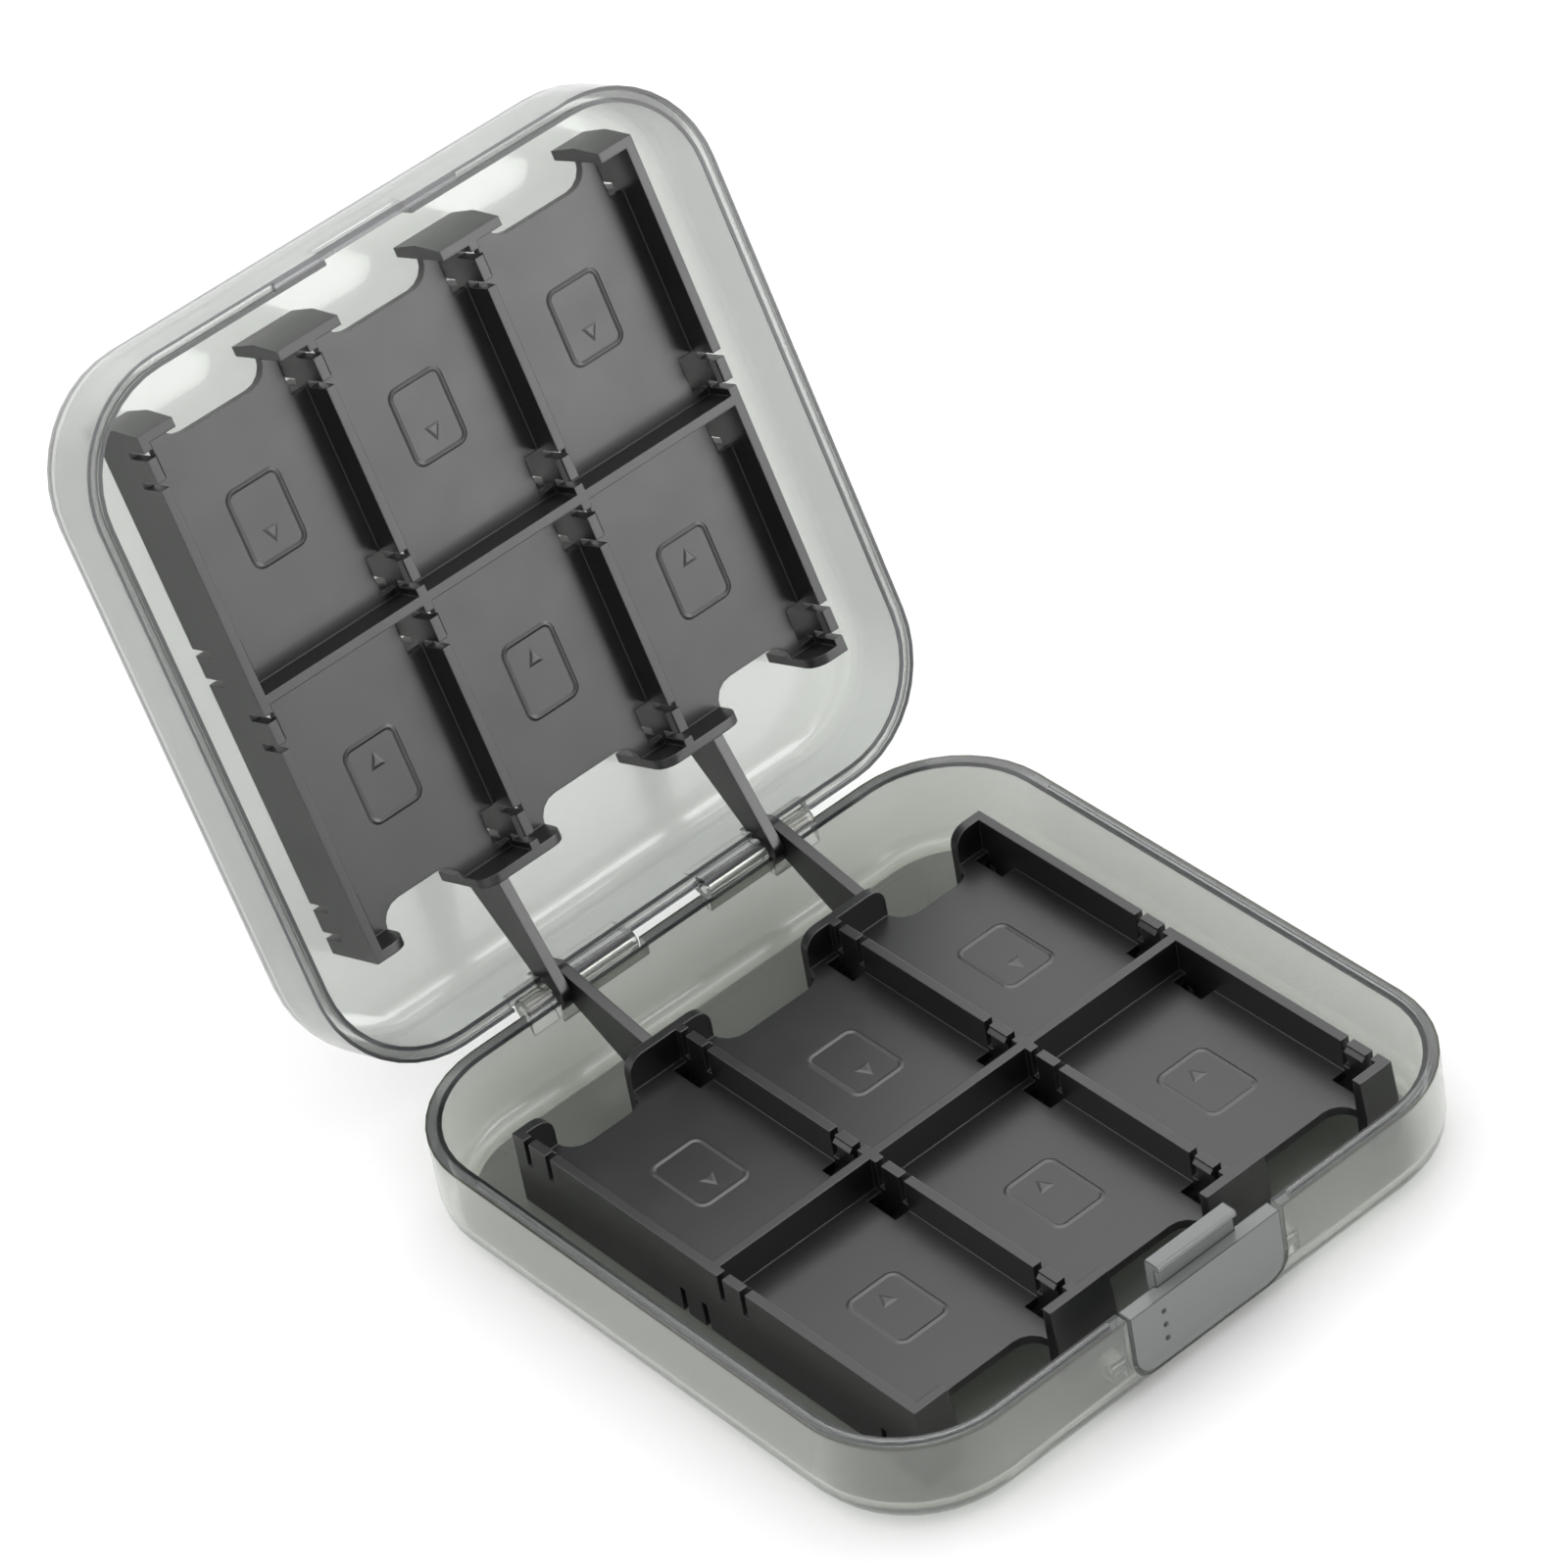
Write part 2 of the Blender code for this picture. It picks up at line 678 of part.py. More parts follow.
def arm_outline():
    """An arm's side view as (y, z): a web whose top edge runs on to the round
    eye without a corner."""
    root = Vector((TRAY_BACK - TRAY_WALL / 2, TRAY_TOP - ARM_TOP_DROP))
    low_root = Vector((root.x, TRAY_BOTTOM + ARM_ROOT_RISE))
    eye = Vector((HINGE_Y, HINGE_Z))
    line = eye - root
    lean = math.atan2(line.y, line.x) + math.asin(ARM_EYE_RADIUS / line.length)
    low_eye = eye - Vector((0.0, ARM_END_DROP))
    low_way = (low_eye - low_root).normalized()
    across = (low_eye - eye).dot(low_way)
    back = across + math.sqrt(across**2 + ARM_EYE_RADIUS**2 - ARM_END_DROP**2)
    neck = low_eye - low_way * back
    start = math.atan2(neck.y - eye.y, neck.x - eye.x)
    sweep = (lean + math.pi / 2 - start) % (2 * math.pi)
    points = [(root.x, root.y), (low_root.x, low_root.y)]
    for step in range(ROUND_SEGMENTS + 1):
        angle = start + sweep * step / ROUND_SEGMENTS
        points.append((eye.x + ARM_EYE_RADIUS * math.cos(angle), eye.y + ARM_EYE_RADIUS * math.sin(angle)))
    return points


def tray_arms(tools):
    """Two arms with an eye each, which turn on the hinge pins."""
    return [prism("arm", arm_outline(), ARM_THICKNESS, across_x(x), tools) for x in arm_places()]


def tab_places():
    """Each spring tab as (wall x, y, way its bead points in x, face).

    face is 1 for the upper face. The lower face is the upper one turned over
    about the tray's own front-to-back line.
    """
    near = TAB_FROM_DIVIDER
    far = TRAY_LENGTH / 2 - TAB_FROM_END
    places = []
    for wall in column_walls():
        for face in (1, -1):
            for along, way in ((far, 1), (-near, 1), (near, -1), (-far, -1)):
                x, pointing = wall, way * face
                beside = x + pointing * COLUMN_PITCH / 2
                if abs(beside) < TRAY_WIDTH / 2:
                    places.append((x, DIVIDER_Y + along, pointing, face))
    return places


def tab_slots(tools):
    """Narrow slots on both sides of each spring tab."""
    corners = []
    for x, y, _, face in tab_places():
        edge = TRAY_TOP if face > 0 else TRAY_BOTTOM
        deep = edge - face * TAB_SLOT_DEPTH
        out = edge + face * TRAY_WALL
        for side in (-1, 1):
            inner = y + side * TAB_WIDTH / 2
            outer = inner + side * TAB_SLOT_WIDTH
            low = (x - TRAY_WALL, min(inner, outer), min(deep, out))
            high = (x + TRAY_WALL, max(inner, outer), max(deep, out))
            corners.append((low, high))
    return corners


def bead_outline(x, pointing, face):
    """A tab's bead as (x, z): a wedge under the wall's edge, over the card."""
    edge = TRAY_TOP if face > 0 else TRAY_BOTTOM
    root = x + pointing * TRAY_WALL / 4
    wall = x + pointing * TRAY_WALL / 2
    tip = wall + pointing * BEAD_REACH
    return [
        (root, edge - face * BEAD_HEIGHT / 4),
        (wall, edge - face * BEAD_HEIGHT / 4),
        (tip, edge - face * BEAD_HEIGHT * BEAD_TIP),
        (wall, edge - face * BEAD_HEIGHT),
        (root, edge - face * BEAD_HEIGHT),
    ]


def tab_beads(tools):
    """The beads that snap over the cards, as one object of separate wedges."""
    bm = bmesh.new()
    for x, y, pointing, face in tab_places():
        outline = bead_outline(x, pointing, face)
        bead = prism("bead", outline, TAB_WIDTH, across_y(y), tools)
        bm.from_mesh(bead.data)
        shape = bead.data
        bpy.data.objects.remove(bead, do_unlink=True)
        bpy.data.meshes.remove(shape)
    return object_from(bm, "beads", tools)


def floor_windows():
    """Openings through the floor beside each tab, for its undercut bead."""
    corners = []
    half = TAB_WIDTH / 2 + TAB_SLOT_WIDTH
    for x, y, pointing, _ in tab_places():
        wall = x + pointing * TRAY_WALL / 2
        far = wall + pointing * WINDOW_WIDTH
        low = (min(wall, far), y - half, TRAY_MIDDLE - TRAY_FLOOR)
        high = (max(wall, far), y + half, TRAY_MIDDLE + TRAY_FLOOR)
        corners.append((low, high))
    return corners


def make_tray_mesh(collection, tools):
    """One tray as a mesh with its origin on the hinge axis."""
    tray = make_tray_floor(collection, tools)
    combine(tray, "DIFFERENCE", [boxes("windows", floor_windows(), tools)])
    combine(tray, "UNION", tray_ribs(tools) + back_plates(tools) + front_plates(tools))
    combine(tray, "UNION", tray_arms(tools))
    hole_spans = [(x - ARM_THICKNESS, x + ARM_THICKNESS) for x in arm_places()]
    hinge = (HINGE_Y, HINGE_Z)
    eyes = rods("eye_holes", hole_spans, hinge, PIN_RADIUS + PIN_CLEARANCE, tools)
    combine(tray, "DIFFERENCE", [boxes("slots", tab_slots(tools), tools), eyes])
    combine(tray, "UNION", [tab_beads(tools)])
    mesh = tray.data
    bpy.data.objects.remove(tray, do_unlink=True)
    mesh.name = "tray"
    mesh.transform(Matrix.Translation(-HINGE_POINT))
    return mesh


def make_pins(collection):
    """Two steel pins, one at each hinge station, held in the base's knuckles."""
    pins = []
    hinge = (0.0, 0.0)
    for name, side in (("hinge_pin_left", -1), ("hinge_pin_right", 1)):
        ends = sorted(
            (
                side * (INNER_KNUCKLE[0] + PIN_INSET),
                side * (OUTER_KNUCKLE[1] - PIN_INSET),
            )
        )
        middle = (ends[0] + ends[1]) / 2
        half = (ends[1] - ends[0]) / 2
        pin = rods(name, [(-half, half)], hinge, PIN_RADIUS, collection)
        pin.location = (middle, HINGE_Y, HINGE_Z)
        pins.append(pin)
    return pins


def finish(item, key):
    """Give an object its material, smooth round faces and sharp edges."""
    color, roughness, metallic = COLORS[key]
    material = bpy.data.materials.get(key) or bpy.data.materials.new(key)
    material.use_nodes = True
    shader = material.node_tree.nodes["Principled BSDF"]
    shader.inputs["Base Color"].default_value = (*color, 1.0)
    shader.inputs["Roughness"].default_value = roughness
    shader.inputs["Metallic"].default_value = metallic
    item.data.materials.clear()
    item.data.materials.append(material)
    item.data.shade_smooth()
    item.data.set_sharp_from_angle(angle=math.radians(30))


def hinge_empty(name, parent, angle, collection):
    """An empty on the hinge axis that a leaf of the case turns with."""
    empty = bpy.data.objects.new(name, None)
    empty.empty_display_size = SHELL_HEIGHT
    collection.objects.link(empty)
    empty.rotation_euler.x = angle
    if parent is None:
        empty.location = HINGE_POINT
    else:
        empty.parent = parent
    return empty


def move_origin(item, point):
    """Put an object's origin at a point without moving its mesh."""
    item.data.transform(Matrix.Translation(-Vector(point)))
    item.location = point


def build():
    clear_scene()
    case = new_collection("game_card_case")
    tools = new_collection("cutters")

    base = make_base_shell(case, tools)
    finish(base, "base_shell")

    latch = make_latch(case, tools)
    move_origin(latch, (0.0, *latch_pivot()))
    finish(latch, "latch")

    for pin in make_pins(case):
        finish(pin, "hinge_pin")

    base_tray_axis = hinge_empty("base_tray_axis", None, 0.0, case)
    lid_tray_axis = hinge_empty("lid_tray_axis", base_tray_axis, -OPEN_ANGLE, case)
    lid_axis = hinge_empty("lid_axis", lid_tray_axis, 0.0, case)

    tray_mesh = make_tray_mesh(case, tools)
    base_tray = bpy.data.objects.new("base_tray", tray_mesh)
    case.objects.link(base_tray)
    base_tray.parent = base_tray_axis
    finish(base_tray, "base_tray")
    lid_tray = bpy.data.objects.new("lid_tray", tray_mesh)
    case.objects.link(lid_tray)
    lid_tray.parent = lid_tray_axis
    lid_tray.rotation_euler.y = math.pi

    lid = make_lid_shell(case, tools)
    lid.data.transform(Matrix.Translation(-HINGE_POINT))
    lid.parent = lid_axis
    finish(lid, "lid_shell")


build()
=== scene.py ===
"""Looks of the game card case: materials, small marks, light and camera."""

import math

import bmesh
import bpy
from mathutils import Matrix, Vector


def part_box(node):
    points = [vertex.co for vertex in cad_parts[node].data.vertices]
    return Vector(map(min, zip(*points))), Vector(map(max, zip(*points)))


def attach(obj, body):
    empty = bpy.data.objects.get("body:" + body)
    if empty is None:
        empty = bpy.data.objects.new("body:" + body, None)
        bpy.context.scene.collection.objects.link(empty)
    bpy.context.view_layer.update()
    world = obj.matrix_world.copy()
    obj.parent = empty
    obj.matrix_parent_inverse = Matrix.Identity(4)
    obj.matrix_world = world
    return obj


# Camera, solved from the rims and corners seen in the photograph
CAMERA_AZIMUTH = -34.518
CAMERA_ELEVATION = 39.158
CAMERA_ROLL = -10.681
CAMERA_DISTANCE = 0.7972
CAMERA_RIGHT = -0.017865
CAMERA_UP = 0.042886
CAMERA_LENS = 161.63
SENSOR = 36.0

# Sizes shared with the CAD
HINGE = Vector((0.0, 0.04545, 0.01235))
OPEN_ANGLE = math.radians(111.0)
COLUMN_PITCH = 0.0236
POCKET_LENGTH = 0.0323
WALL = 0.0012
TRAY_FLOOR = 0.0012
DIVIDER_Y = -0.0034
TRAY_MIDDLE = 0.006975
RIM_HEIGHT = 0.0122
SHELL_WALL = 0.0019
HALF_CASE = 0.045
CORNER_RADIUS = 0.015
SEAM_GAP = 0.0003

# Marks moulded in the pockets. The ridge is given across its line, in shares of
# the line's width and of its height.
MARK_WIDTH = 0.0071
MARK_LENGTH = 0.0094
MARK_CORNER = 0.0011
MARK_LINE = 0.0008
MARK_HEIGHT = 0.00014
MARK_RIDGE = ((-0.5, -0.1), (0.0, 1.0), (0.5, -0.1))
MARK_CREASE = 10
ARROW_WIDTH = 0.0023
ARROW_LENGTH = 0.0023
ARROW_FROM_END = 0.0026
ARROW_TOP_SHARE = 0.5
ARROW_HEIGHT_SHARE = 0.8

# Dots on the latch
DOT_COUNT = 3
DOT_RADIUS = 0.00036
DOT_PITCH = 0.0020
DOT_SIDE = -0.0065
DOT_TOP = 0.0100
DOT_FLATNESS = 0.5

# Clear plastic: its colour seen square on and seen along the surface
BASE_FACE = (0.49, 0.51, 0.47)
BASE_DEEP = (0.80, 0.82, 0.78)
LID_FACE = (0.65, 0.67, 0.64)
LID_DEEP = (0.30, 0.31, 0.31)
HAZE = 1.04

# Painted light on the rims, as colours from the outer face to the inner one:
# painted shade lines, a painted olive fringe and a painted highlight band; and
# how far from the top of a rim they begin and are full
PAINTED_SHADE_LINE = (0.015, 0.015, 0.02)
PAINTED_OLIVE_FRINGE = (0.16, 0.16, 0.10)
PAINTED_RIM_HIGHLIGHT = (0.55, 0.55, 0.60)
BASE_RIM_PAINTED_LIGHT = (
    (0.0, BASE_FACE),
    (0.04, PAINTED_OLIVE_FRINGE),
    (0.12, PAINTED_OLIVE_FRINGE),
    (0.2, PAINTED_RIM_HIGHLIGHT),
    (0.62, PAINTED_RIM_HIGHLIGHT),
    (0.74, PAINTED_SHADE_LINE),
    (1.0, PAINTED_SHADE_LINE),
)
LID_RIM_PAINTED_LIGHT = (
    (0.0, LID_FACE),
    (0.06, PAINTED_SHADE_LINE),
    (0.36, PAINTED_SHADE_LINE),
    (0.45, PAINTED_RIM_HIGHLIGHT),
    (0.56, PAINTED_RIM_HIGHLIGHT),
    (0.66, PAINTED_SHADE_LINE),
    (1.0, PAINTED_SHADE_LINE),
)
RIM_BEGIN = 0.00025
RIM_FULL = 0.00005
RIM_CLEAR = 0.96
# Width of the painted shade lines along sharp edges of the clear plastic
EDGE_SHADE_WIDTH = 0.0003

# The studio: bright all round, dimmer towards where the photographer stands
STUDIO_BRIGHT = 1.68
STUDIO_DIM = 0.4
DIM_SIDE = (-0.15, -0.98, 0.0)


def node(tree, kind, **inputs):
    """Add a shader node and set its plain input values by name."""
    item = tree.nodes.new(kind)
    for name, value in inputs.items():
        item.inputs[name.replace("_", " ")].default_value = value
    return item


def new_material(name):
    """A material with its node tree and its main shader."""
    material = bpy.data.materials.new(name)
    material.use_nodes = True
    tree = material.node_tree
    return material, tree, tree.nodes["Principled BSDF"]


def noise(tree, scale, detail):
    """Noise in object space, at a real scale."""
    place = tree.nodes.new("ShaderNodeTexCoord")
    item = node(tree, "ShaderNodeTexNoise", Scale=scale, Detail=detail, Roughness=0.55)
    tree.links.new(place.outputs["Object"], item.inputs["Vector"])
    return item


def ramp(tree, source, colors):
    """Two colours of a noise, with its middle range spread out."""
    item = tree.nodes.new("ShaderNodeValToRGB")
    item.color_ramp.elements[0].position = 0.3
    item.color_ramp.elements[1].position = 0.7
    item.color_ramp.elements[0].color = (*colors[0], 1.0)
    item.color_ramp.elements[1].color = (*colors[1], 1.0)
    tree.links.new(source, item.inputs["Fac"])
    return item


def spread(tree, source, low, high):
    """Map a value from 0..1 to a range."""
    item = tree.nodes.new("ShaderNodeMapRange")
    item.inputs["To Min"].default_value = low
    item.inputs["To Max"].default_value = high
    tree.links.new(source, item.inputs["Value"])
    return item


def bump(tree, source, strength, distance, normal=None):
    """Small relief from a value, on top of another normal if one is given."""
    item = node(tree, "ShaderNodeBump", Strength=strength, Distance=distance)
    tree.links.new(source, item.inputs["Height"])
    if normal is not None:
        tree.links.new(normal, item.inputs["Normal"])
    return item


def blend(tree, factor, first, second):
    """Mix two colours. Either may be a socket or plain values."""
    item = tree.nodes.new("ShaderNodeMix")
    item.data_type = "RGBA"
    tree.links.new(factor, item.inputs["Factor"])
    for socket, value in ((item.inputs[6], first), (item.inputs[7], second)):
        if isinstance(value, tuple):
            socket.default_value = (*value, 1.0)
        else:
            tree.links.new(value, socket)
    return item.outputs[2]


def near_edges(tree, radius, low, high):
    """A value that is 1 beside sharp edges and 0 on open faces.

    It fades between two cosines of the angle by which a bevel of the given
    radius would turn the surface.
    """
    soft = node(tree, "ShaderNodeBevel", Radius=radius)
    soft.samples = 4
    place = tree.nodes.new("ShaderNodeNewGeometry")
    dot = tree.nodes.new("ShaderNodeVectorMath")
    dot.operation = "DOT_PRODUCT"
    tree.links.new(soft.outputs["Normal"], dot.inputs[0])
    tree.links.new(place.outputs["Normal"], dot.inputs[1])
    item = tree.nodes.new("ShaderNodeMapRange")
    item.inputs["From Min"].default_value = high
    item.inputs["From Max"].default_value = low
    tree.links.new(dot.outputs["Value"], item.inputs["Value"])
    return item.outputs["Result"]


def bands(tree, source, stops):
    """Colours along a value, from (position, colour) pairs."""
    item = tree.nodes.new("ShaderNodeValToRGB")
    elements = item.color_ramp.elements
    while len(elements) < len(stops):
        elements.new(0.5)
    for element, (position, color) in zip(elements, stops):
        element.position = position
        element.color = (*color, 1.0)
    tree.links.new(source, item.inputs["Fac"])
    return item.outputs["Color"]


def vector_math(tree, operation, source, value=None):
    """One step of vector arithmetic, with a fixed second vector if given."""
    item = tree.nodes.new("ShaderNodeVectorMath")
    item.operation = operation
    tree.links.new(source, item.inputs[0])
    if value is not None:
        item.inputs[1].default_value = value
    return item


def flat_place(tree, angle):
    """Places as in the flat case, for a shell swung open by an angle."""
    place = tree.nodes.new("ShaderNodeTexCoord")
    swing = tree.nodes.new("ShaderNodeMapping")
    turn = Matrix.Rotation(angle, 4, "X")
    swing.inputs["Rotation"].default_value = (angle, 0.0, 0.0)
    swing.inputs["Location"].default_value = HINGE - turn @ HINGE
    tree.links.new(place.outputs["Object"], swing.inputs["Vector"])
    return swing.outputs["Vector"]


def rim_bands(tree, place):
    """How deep a point lies under the outer face, 0 outside and 1 inside."""
    flat = vector_math(tree, "MULTIPLY", place, (1.0, 1.0, 0.0))
    side = vector_math(tree, "ABSOLUTE", flat.outputs["Vector"])
    reach = HALF_CASE - CORNER_RADIUS
    past = vector_math(tree, "SUBTRACT", side.outputs["Vector"], (reach, reach, 0.0))
    corner = vector_math(tree, "MAXIMUM", past.outputs["Vector"], (0.0, 0.0, 0.0))
    span = vector_math(tree, "LENGTH", corner.outputs["Vector"])
    item = tree.nodes.new("ShaderNodeMapRange")
    item.inputs["From Min"].default_value = CORNER_RADIUS
    item.inputs["From Max"].default_value = CORNER_RADIUS - SHELL_WALL
    tree.links.new(span.outputs["Value"], item.inputs["Value"])
    return item.outputs["Result"]


def rim_mask(tree, place, low, high):
    """A value that goes from 0 to 1 between two heights of the flat case."""
    split = tree.nodes.new("ShaderNodeSeparateXYZ")
    tree.links.new(place, split.inputs["Vector"])
    item = tree.nodes.new("ShaderNodeMapRange")
    item.inputs["From Min"].default_value = low
    item.inputs["From Max"].default_value = high
    tree.links.new(split.outputs["Z"], item.inputs["Value"])
    return item.outputs["Result"]


def let_light_through(tree, shader, color):
    """Light from the room passes the plastic, so its shadow is a pale tint."""
    ray = tree.nodes.new("ShaderNodeLightPath")
    through = tree.nodes.new("ShaderNodeBsdfTransparent")
    through.inputs["Color"].default_value = (*[value ** 0.5 for value in color], 1.0)
    mix = tree.nodes.new("ShaderNodeMixShader")
    tree.links.new(ray.outputs["Is Shadow Ray"], mix.inputs[0])
    tree.links.new(shader.outputs["BSDF"], mix.inputs[1])
    tree.links.new(through.outputs["BSDF"], mix.inputs[2])
    tree.links.new(mix.outputs["Shader"], tree.nodes["Material Output"].inputs["Surface"])


def smoke_plastic(name, clear, face, deep, rim=None):
    """Smoke grey translucent plastic with painted shade along its sharp edges, in dark lines.

    clear is how much light passes, face its colour seen square on and deep its
    colour seen along the surface. rim, if given, is the angle that the shell is
    swung by, the heights between which its rim begins, and the rim's bands of
    painted shade, painted olive fringe and painted highlight from outside to inside.
    """
    material, tree, shader = new_material(name)
    shader.inputs["IOR"].default_value = 1.49
    shader.inputs["Transmission Weight"].default_value = clear
    haze = noise(tree, 60.0, 3.0)
    tint = ramp(tree, haze.outputs["Fac"], (face, [HAZE * value for value in face]))
    facing = node(tree, "ShaderNodeLayerWeight", Blend=0.5)
    color = blend(tree, facing.outputs["Facing"], tint.outputs["Color"], deep)
    # Painted shade: dark lines along the sharp edges
    color = blend(tree, near_edges(tree, EDGE_SHADE_WIDTH, 0.955, 0.99), color, PAINTED_SHADE_LINE)
    if rim is not None:
        angle, low, high, stops = rim
        place = flat_place(tree, angle)
        mask = rim_mask(tree, place, low, high)
        # Painted light across the top of the rim: bands of painted shade, olive fringe and highlight
        color = blend(tree, mask, color, bands(tree, rim_bands(tree, place), stops))
        light = spread(tree, mask, clear, RIM_CLEAR)
        tree.links.new(light.outputs["Result"], shader.inputs["Transmission Weight"])
    tree.links.new(color, shader.inputs["Base Color"])
    scuff = noise(tree, 200.0, 2.0)
    rough = spread(tree, scuff.outputs["Fac"], 0.13, 0.20)
    tree.links.new(rough.outputs["Result"], shader.inputs["Roughness"])
    flow = noise(tree, 35.0, 1.0)
    wave = bump(tree, flow.outputs["Fac"], 0.07, 0.0006)
    tree.links.new(wave.outputs["Normal"], shader.inputs["Normal"])
    let_light_through(tree, shader, face)
    return material


def tray_plastic(name, dark, light):
    """Black plastic with a fine satin grain, clouded between two tones, lighter grey
    at its edges as wear and as a painted edge highlight, and smooth at its edges."""
    material, tree, shader = new_material(name)
    shader.inputs["IOR"].default_value = 1.5
    shader.inputs["Specular IOR Level"].default_value = 0.75
    cloud = noise(tree, 90.0, 4.0)
    color = ramp(tree, cloud.outputs["Fac"], (dark, light))
    edges = near_edges(tree, 0.0002, 0.9, 0.99)
    # Wear and painted highlight: lighter grey along the edges
    worn_and_highlit_edges = blend(tree, edges, color.outputs["Color"], (0.04, 0.04, 0.045))
    tree.links.new(worn_and_highlit_edges, shader.inputs["Base Color"])
    patch = noise(tree, 160.0, 3.0)
    rough = spread(tree, patch.outputs["Fac"], 0.27, 0.38)
    tree.links.new(rough.outputs["Result"], shader.inputs["Roughness"])
    soft = node(tree, "ShaderNodeBevel", Radius=0.00022)
    soft.samples = 4
    grain = noise(tree, 5200.0, 2.0)
    fine = bump(tree, grain.outputs["Fac"], 0.12, 0.00003, soft.outputs["Normal"])
    tree.links.new(fine.outputs["Normal"], shader.inputs["Normal"])
    return material


def pin_steel():
    """Drawn steel wire: fine lines along the pin."""
    material, tree, shader = new_material("pin_steel")
    shader.inputs["Metallic"].default_value = 1.0
    place = tree.nodes.new("ShaderNodeTexCoord")
    stretch = tree.nodes.new("ShaderNodeMapping")
    stretch.inputs["Scale"].default_value = (120.0, 9000.0, 9000.0)
    tree.links.new(place.outputs["Object"], stretch.inputs["Vector"])
    lines = node(tree, "ShaderNodeTexNoise", Scale=1.0, Detail=2.0)
    tree.links.new(stretch.outputs["Vector"], lines.inputs["Vector"])
    color = ramp(tree, lines.outputs["Fac"], ((0.50, 0.50, 0.49), (0.66, 0.66, 0.64)))
    tree.links.new(color.outputs["Color"], shader.inputs["Base Color"])
    rough = spread(tree, lines.outputs["Fac"], 0.22, 0.38)
    tree.links.new(rough.outputs["Result"], shader.inputs["Roughness"])
    return material


def floor_paper():
    """The pale matt surface that the case stands on."""
    material, tree, shader = new_material("floor_paper")
    shader.inputs["Roughness"].default_value = 0.9
    shade = noise(tree, 8.0, 2.0)
    color = ramp(tree, shade.outputs["Fac"], ((0.86, 0.86, 0.86), (0.90, 0.90, 0.90)))
    tree.links.new(color.outputs["Color"], shader.inputs["Base Color"])
    return material


def soften(mesh, crease):
    """Smooth shading for round stretches, with flat faces kept flat.

    At each corner of a face the normal is the mean, by area, of the faces that
    meet there at less than the crease angle.
    """
    meeting = {}
    for face in mesh.polygons:
        for index in face.vertices:
            spot = mesh.vertices[index].co.copy().freeze()
            meeting.setdefault(spot, []).append((face.normal.copy(), face.area))
    limit = math.cos(math.radians(crease))
    normals = []
    for face in mesh.polygons:
        for index in face.vertices:
            spot = mesh.vertices[index].co.copy().freeze()
            total = Vector()
            for normal, area in meeting[spot]:
                if normal.dot(face.normal) > limit:
                    total += normal * area
            normals.append(total.normalized() if total.length > 0.0 else face.normal.copy())
    mesh.shade_smooth()
    mesh.normals_split_custom_set(normals)


def dress(item, material, crease=30):
    """Give a piece its material and smooth shading."""
    item.data.materials.clear()
    item.data.materials.append(material)
    soften(item.data, crease)


def rounded_path(width, length, corner, steps=5):
    """Points round a rectangle with round corners."""
    points = []
    for sx, sy, start in ((1, 1, 0), (-1, 1, 90), (-1, -1, 180), (1, -1, 270)):
        centre = Vector((sx * (width / 2 - corner), sy * (length / 2 - corner)))
        for i in range(steps + 1):
            angle = math.radians(start + 90 * i / steps)
            points.append(centre + corner * Vector((math.cos(angle), math.sin(angle))))
    return points


def add_ring(bm, matrix):
    """A low ridge with two gentle slopes, in the outline of a card."""
    rows = []
    for inset, height in MARK_RIDGE:
        shrink = 2 * inset * MARK_LINE
        path = rounded_path(MARK_WIDTH - shrink, MARK_LENGTH - shrink, MARK_CORNER - shrink / 2)
        rows.append([bm.verts.new(matrix @ Vector((*p, height * MARK_HEIGHT))) for p in path])
    count = len(rows[0])
    for a, b in zip(rows, rows[1:]):
        for i in range(count):
            j = (i + 1) % count
            bm.faces.new((a[i], a[j], b[j], b[i]))


def add_arrow(bm, matrix, way):
    """A small raised triangle that points to the divider."""
    tip_y = way * (MARK_LENGTH / 2 - ARROW_FROM_END + ARROW_LENGTH / 2)
    base_y = tip_y - way * ARROW_LENGTH
    outline = [(-ARROW_WIDTH / 2, base_y), (ARROW_WIDTH / 2, base_y), (0.0, tip_y)]
    middle = Vector((0.0, (2 * base_y + tip_y) / 3))
    low = [bm.verts.new(matrix @ Vector((*p, -0.1 * MARK_HEIGHT))) for p in outline]
    high = []
    for p in outline:
        inner = middle + (Vector(p) - middle) * ARROW_TOP_SHARE
        high.append(bm.verts.new(matrix @ Vector((*inner, ARROW_HEIGHT_SHARE * MARK_HEIGHT))))
    bm.faces.new(high)
    for i in range(3):
        j = (i + 1) % 3
        bm.faces.new((low[i], low[j], high[j], high[i]))


def pocket_marks(name, placing):
    """One mark in the middle of each pocket floor, on both faces of a tray."""
    bm = bmesh.new()
    for column in (-1, 0, 1):
        for row in (1, -1):
            y = DIVIDER_Y + row * (POCKET_LENGTH + WALL) / 2
            for face in (1, -1):
                z = TRAY_MIDDLE + face * TRAY_FLOOR / 2
                where = Matrix.Translation((column * COLUMN_PITCH, y, z))
                if face < 0:
                    where = where @ Matrix.Rotation(math.pi, 4, "Y")
                add_ring(bm, placing @ where)
                add_arrow(bm, placing @ where, -row)
    bmesh.ops.recalc_face_normals(bm, faces=bm.faces)
    mesh = bpy.data.meshes.new(name)
    bm.to_mesh(mesh)
    bm.free()
    item = bpy.data.objects.new(name, mesh)
    bpy.context.scene.collection.objects.link(item)
    return item


